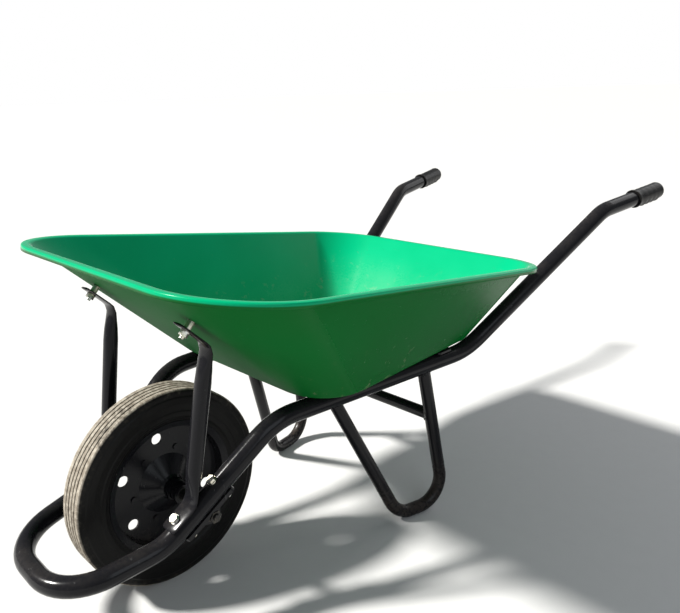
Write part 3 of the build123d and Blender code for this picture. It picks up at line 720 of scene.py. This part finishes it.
def grip_outline():
    outline = [(BORE_END, 0.0), (BORE_END, BORE_R), (0.0, BORE_R), (0.0, COLLAR_R)]
    outline += [(0.005, COLLAR_R), (0.0062, GRIP_R - 0.0004)]
    outline.append((0.012, VALLEY_R))
    for ridge in RIDGES:
        outline.append((ridge - RIDGE_HALF, VALLEY_R))
        outline.append((ridge, GRIP_R - 0.0003))
        outline.append((ridge + RIDGE_HALF, VALLEY_R))
    for turned in range(0, 91, 10):
        angle = radians(turned)
        reach = GRIP_LONG - DOME_R + DOME_R * sin(angle)
        outline.append((reach, GRIP_R - DOME_R + DOME_R * cos(angle)))
    return outline + [(GRIP_LONG, 0.0)]


def grip(name, side, mount):
    grip_bm = bmesh.new()
    points = [grip_bm.verts.new((x, 0, radius)) for x, radius in grip_outline()]
    for first, second in zip(points, points[1:]):
        grip_bm.edges.new((first, second))
    soften(grip_bm, points[3:6], COLLAR_SOFT)
    spin_round(grip_bm, GRIP_STEPS)
    for vert in grip_bm.verts:
        if any(abs(vert.co.x - ridge) < 0.001 for ridge in RIDGES):
            below = max(0.0, -vert.co.z / hypot(vert.co.y, vert.co.z)) ** 2
            out = Vector((0, vert.co.y, vert.co.z)).normalized()
            bmesh.ops.translate(grip_bm, verts=[vert], vec=out * RIDGE_OUT * below)
    along = Vector(mount["axis"]).normalized()
    if along.y < 0:
        along = -along
    start = Vector(mount["pos_m"]) - along * (COLLAR_LONG + FREE_LENGTH / 2)
    level = Vector((0, 0, 1)).cross(along).normalized()
    place = Matrix((along, level, along.cross(level))).transposed().to_4x4()
    bmesh.ops.transform(grip_bm, matrix=Matrix.Translation(start) @ place, verts=grip_bm.verts)
    return make_piece(name, grip_bm, grip_finish, "barrow", ["grip_" + side])


for mount in frame["record"]["mounts"]:
    side = "right" if "right" in mount["name"] else "left"
    grip("grip_sleeve_" + side, side, mount)

# %% [markdown]
# The front struts are lengths of tube squeezed flat at both ends: one end is folded to lie on the
# frame tube under a bolt, the other is folded to lie along the front of the tray. A flattened tube
# keeps its girth, so where it gets thin it gets wide. Rings are set along the strut, each with
# its own width and thickness, and neighbouring rings are bridged, which gives the pinched necks
# that a straight loft can't.

# %% Lines the struts follow
RISE = radians(38.3)
ALONG = Vector((0, cos(RISE), sin(RISE)))
UPWARD = Vector((0, -sin(RISE), cos(RISE)))
TUBE_R = 0.01685
TUBE_OVER_AXLE = TUBE_R + 0.0128
RAIL_Z = 0.3115
RISE_START = AXLE + UPWARD * TUBE_OVER_AXLE
RISE_HALF = 0.127
RISE_TOP_HALF = 0.164
RISE_AHEAD = 0.083
STRUT_BOLT_X = 0.150
rise_length = (RAIL_Z - RISE_START.z) / sin(RISE)
TOE = (RISE_TOP_HALF - RISE_HALF) / (rise_length + RISE_AHEAD)


def on_rise(distance, lift):
    """Point over the tube where it climbs past the wheel."""
    half = RISE_HALF + (distance + RISE_AHEAD) * TOE
    return Vector((half, 0, 0)) + RISE_START + ALONG * distance + UPWARD * lift


wall_foot = Vector((0, FLOOR_ENDS[0], TRAY_LOW[2]))
wall_head = rim_place @ Vector((0, RIM_FLANGE, 0))
UP_WALL = (wall_head - wall_foot).normalized()
OFF_WALL = Vector((0, -UP_WALL.z, UP_WALL.y))


def on_wall(up, off):
    """Point off the outside of the front wall, at the strut."""
    return Vector((STRUT_BOLT_X, 0, 0)) + wall_foot + UP_WALL * up + OFF_WALL * off


print("frame climbs", round(rise_length, 4), "from over the axle to the rails")

# %% [markdown]
# Each station is a place, the way the strut's flat face looks there, and half its width and half
# its thickness: the foot on the tube, the neck where it folds up, the round shaft, the upper neck,
# and the tab that lies along the tray.

# %% Front struts
FLAT_T = 0.005
FLAT_W = 0.035
ROUND_R = 0.01345
STRUT_BOLT_UP = 0.265
STRUT_GAP = 0.013
SEAT_GAP = 0.0002
RING_STEPS = 32


def ring(bm, place, across, facing, half_wide, half_thick):
    """A squashed ring: wide along across and thin along facing."""
    axes = Matrix((across * half_wide, facing * half_thick, across.cross(facing)))
    matrix = Matrix.Translation(place) @ axes.transposed().to_4x4()
    verts = bmesh.ops.create_circle(bm, segments=RING_STEPS, radius=1, matrix=matrix)["verts"]
    return [edge for edge in bm.edges if edge.verts[0] in verts and edge.verts[1] in verts]


foot_lift = TUBE_R + FLAT_T / 2 + SEAT_GAP
tab_off = STRUT_GAP + FLAT_T / 2
base = on_rise(-0.007, foot_lift)
head = on_wall(STRUT_BOLT_UP - 0.047, tab_off)
shaft = (head - base).normalized()
side_on = (Vector((1, 0, 0)) - shaft * shaft.x).normalized()
shaft_out = side_on.cross(shaft)
foot_fold = (UPWARD + shaft_out).normalized()
tab_fold = (OFF_WALL + shaft_out).normalized()
thin = FLAT_T / 2
wide = FLAT_W / 2
stations = [
    (on_rise(-0.0600, foot_lift), UPWARD, wide * 0.72, thin * 0.7),
    (on_rise(-0.0575, foot_lift), UPWARD, wide * 0.92, thin),
    (on_rise(-0.0500, foot_lift), UPWARD, wide, thin),
    (on_rise(-0.0160, foot_lift), UPWARD, wide, thin * 1.05),
    (on_rise(-0.0085, foot_lift + 0.002), foot_fold, wide, thin * 1.2),
    (base + shaft * 0.010, shaft_out, wide * 0.98, thin * 1.5),
    (base + shaft * 0.024, shaft_out, wide * 0.91, thin * 2.9),
    (base + shaft * 0.042, shaft_out, wide * 0.81, thin * 4.6),
    (base + shaft * 0.060, shaft_out, ROUND_R, ROUND_R),
    (head - shaft * 0.060, shaft_out, ROUND_R, ROUND_R),
    (head - shaft * 0.040, shaft_out, wide * 0.80, thin * 4.7),
    (head - shaft * 0.023, shaft_out, wide * 0.90, thin * 3.2),
    (head - shaft * 0.010, shaft_out, wide * 0.97, thin * 1.9),
    (on_wall(STRUT_BOLT_UP - 0.042, tab_off + 0.001), tab_fold, wide, thin * 1.3),
    (on_wall(STRUT_BOLT_UP - 0.034, tab_off), OFF_WALL, wide, thin),
    (on_wall(STRUT_BOLT_UP + 0.0100, tab_off), OFF_WALL, wide, thin),
    (on_wall(STRUT_BOLT_UP + 0.0160, tab_off), OFF_WALL, wide * 0.90, thin),
    (on_wall(STRUT_BOLT_UP + 0.0180, tab_off), OFF_WALL, wide * 0.72, thin * 0.7),
]


def strut(name, side, node):
    strut_bm = bmesh.new()
    rings = []
    for place, facing, half_wide, half_thick in stations:
        rings.append(ring(strut_bm, place, side_on, facing, half_wide, half_thick))
    for first, second in zip(rings, rings[1:]):
        bmesh.ops.bridge_loops(strut_bm, edges=first + second)
    bmesh.ops.edgeloop_fill(strut_bm, edges=rings[0])
    bmesh.ops.edgeloop_fill(strut_bm, edges=rings[-1])
    if side < 0:
        bmesh.ops.scale(strut_bm, vec=(-1, 1, 1), verts=strut_bm.verts)
    bmesh.ops.recalc_face_normals(strut_bm, faces=strut_bm.faces)
    return make_piece(name, strut_bm, frame_paint, "barrow", [node])


for side, word in ((1, "right"), (-1, "left")):
    strut("strut_tube_" + word, side, "strut_" + word)
print("strut", round((head - base).length, 4), "long between its folds")

# %% [markdown]
# The cross brace is welded to the rear tube of each leg, and each of those tubes to the rail over
# it. A weld is a row of small overlapping puddles along the saddle where two tubes meet. A small
# circle is spun into a ring round the first tube, its puddles are pushed out by a cosine, and the
# ring is then let down on to the second tube, which bends it to the saddle.

# %% Weld beads
LEG_R = 0.0127
BRACE_R = 0.012
BEAD_R = 0.0025
PUDDLES = 18
PUDDLE_STEPS = 5
BEAD_SIDES = 10
PUDDLE_OUT = 0.0007
REAR_FOOT = Vector((0.213, 0.525 + AXLE_Y, LEG_R))
REAR_TOP = Vector((0.1909, 0.479 + AXLE_Y, RAIL_Z))
BRACE_Z = 0.204
RAIL_LINE = Vector((0.0753, 1, 0)).normalized()


def bead(bm, meeting, toward, lying, radius, onto):
    """Weld round a tube that runs toward a meeting point on the axis of a tube lying across it."""
    before = set(bm.verts)
    section = Matrix.Translation((radius, 0, 0)) @ Matrix.Rotation(pi / 2, 4, "X")
    drawn = bmesh.ops.create_circle(bm, segments=BEAD_SIDES, radius=BEAD_R, matrix=section)
    circle = drawn["verts"]
    edges = list({edge for vert in circle for edge in vert.link_edges})
    bmesh.ops.spin(
        bm,
        geom=circle + edges,
        cent=(0, 0, 0),
        axis=(0, 0, 1),
        angle=2 * pi,
        steps=PUDDLES * PUDDLE_STEPS,
        use_merge=True,
        use_duplicate=False,
    )
    made = [vert for vert in bm.verts if vert not in before]
    for vert in made:
        around = atan2(vert.co.y, vert.co.x)
        out = Vector((cos(around), sin(around), 0))
        share = max(0.0, (Vector((vert.co.x, vert.co.y, 0)).length - radius) / BEAD_R)
        puddle = PUDDLE_OUT * share * cos(around * PUDDLES)
        saddle = max(onto * onto - vert.co.y * vert.co.y, 0.0) ** 0.5
        bmesh.ops.translate(bm, verts=[vert], vec=out * puddle - Vector((0, 0, saddle)))
    level = (lying - toward * lying.dot(toward)).normalized()
    axes = Matrix((level, toward.cross(level), toward)).transposed().to_4x4()
    bmesh.ops.transform(bm, matrix=Matrix.Translation(meeting) @ axes, verts=made)


bead_bm = bmesh.new()
leg_line = (REAR_TOP - REAR_FOOT).normalized()
brace_meets = REAR_FOOT + leg_line * ((BRACE_Z - REAR_FOOT.z) / leg_line.z)
for side in (1, -1):
    flip = Vector((side, 1, 1))
    bead(bead_bm, brace_meets * flip, Vector((side, 0, 0)), leg_line * flip, BRACE_R, LEG_R)
    bead(bead_bm, REAR_TOP * flip, leg_line * flip, RAIL_LINE * flip, LEG_R, TUBE_R)
bmesh.ops.remove_doubles(bead_bm, verts=bead_bm.verts, dist=0.00001)
bmesh.ops.recalc_face_normals(bead_bm, faces=bead_bm.faces)
make_piece("weld_beads", bead_bm, frame_paint, "barrow", [])

# %% [markdown]
# The visual pieces have to stay inside the box of the CAD model.

# %% End
print("scene built")
